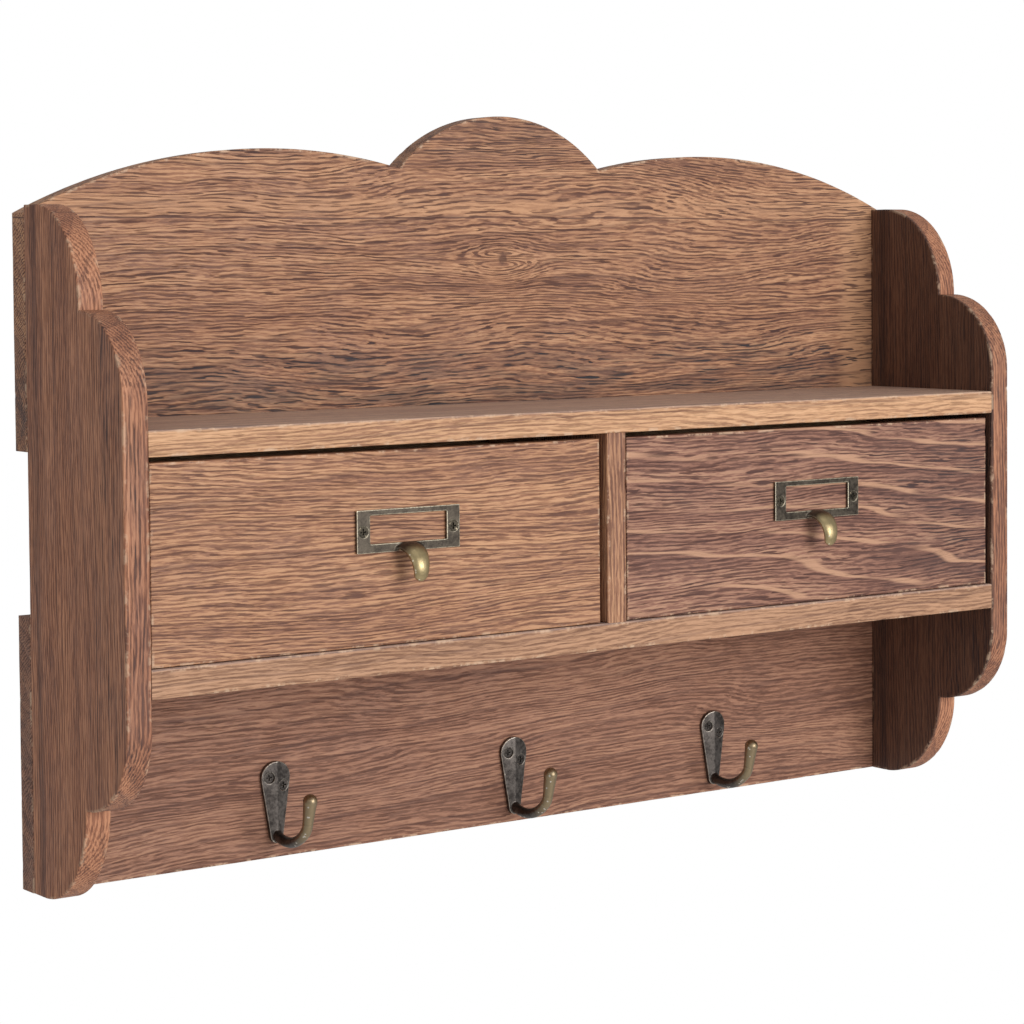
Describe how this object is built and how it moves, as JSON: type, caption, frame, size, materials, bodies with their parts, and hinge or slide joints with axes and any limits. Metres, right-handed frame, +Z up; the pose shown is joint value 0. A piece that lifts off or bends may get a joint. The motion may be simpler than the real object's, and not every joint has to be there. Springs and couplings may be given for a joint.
{
  "type": "wall rack with drawers and hooks",
  "caption": "Wall-hung wooden entry rack with a scalloped crest, rounded side panels, an open shelf, small drawers and coat hooks.",
  "frame": {"origin": "midway between the two keyholes, on the wall plane at the back of the rack", "axes": "+X to the right as seen from the front, +Y into the wall, +Z up; the open front faces -Y"},
  "size_m": [0.5, 0.1115, 0.3399],
  "materials": {
    "panel_wood": "stained satin",
    "board_wood": "stained satin",
    "shelf_wood": "stained satin",
    "dowel_wood": "raw",
    "drawer_front_wood": "stained satin",
    "drawer_box_wood": "raw",
    "drawer_bottom_wood": "raw",
    "nail_steel": "bright",
    "hanger_steel": "zinc plated",
    "hook_bronze": "dark antique, worn at the tips",
    "hook_screw_bronze": "dark antique",
    "pull_brass": "antique, worn along the edges",
    "pull_screw_brass": "antique"
  },
  "bodies": {
    "case": {"side_panel_left": "panel_wood", "side_panel_right": "panel_wood", "back_board_upper": "board_wood", "back_board_lower": "board_wood", "shelf_upper": "shelf_wood", "shelf_lower": "shelf_wood", "divider": "shelf_wood", "shelf_dowels": "dowel_wood", "divider_dowels": "dowel_wood", "back_nails": "nail_steel", "hanger_left": "hanger_steel", "hanger_right": "hanger_steel", "hanger_screws": "hanger_steel", "hook_left": "hook_bronze", "hook_middle": "hook_bronze", "hook_right": "hook_bronze", "hook_screws": "hook_screw_bronze"},
    "left_drawer": {"left_drawer_front": "drawer_front_wood", "left_drawer_side_outer": "drawer_box_wood", "left_drawer_side_inner": "drawer_box_wood", "left_drawer_back": "drawer_box_wood", "left_drawer_bottom": "drawer_bottom_wood", "left_drawer_dowels": "dowel_wood", "left_drawer_nails": "nail_steel", "left_pull": "pull_brass", "left_pull_screws": "pull_screw_brass"},
    "right_drawer": {"right_drawer_front": "drawer_front_wood", "right_drawer_side_outer": "drawer_box_wood", "right_drawer_side_inner": "drawer_box_wood", "right_drawer_back": "drawer_box_wood", "right_drawer_bottom": "drawer_bottom_wood", "right_drawer_dowels": "dowel_wood", "right_drawer_nails": "nail_steel", "right_pull": "pull_brass", "right_pull_screws": "pull_screw_brass"}
  },
  "joints": [
    {"name": "left_drawer_slide", "type": "slide", "parent": "case", "child": "left_drawer", "axis": [0, -1, 0], "range_m": [0, 0.07]},
    {"name": "right_drawer_slide", "type": "slide", "parent": "case", "child": "right_drawer", "axis": [0, -1, 0], "range_m": [0, 0.07]}
  ]
}
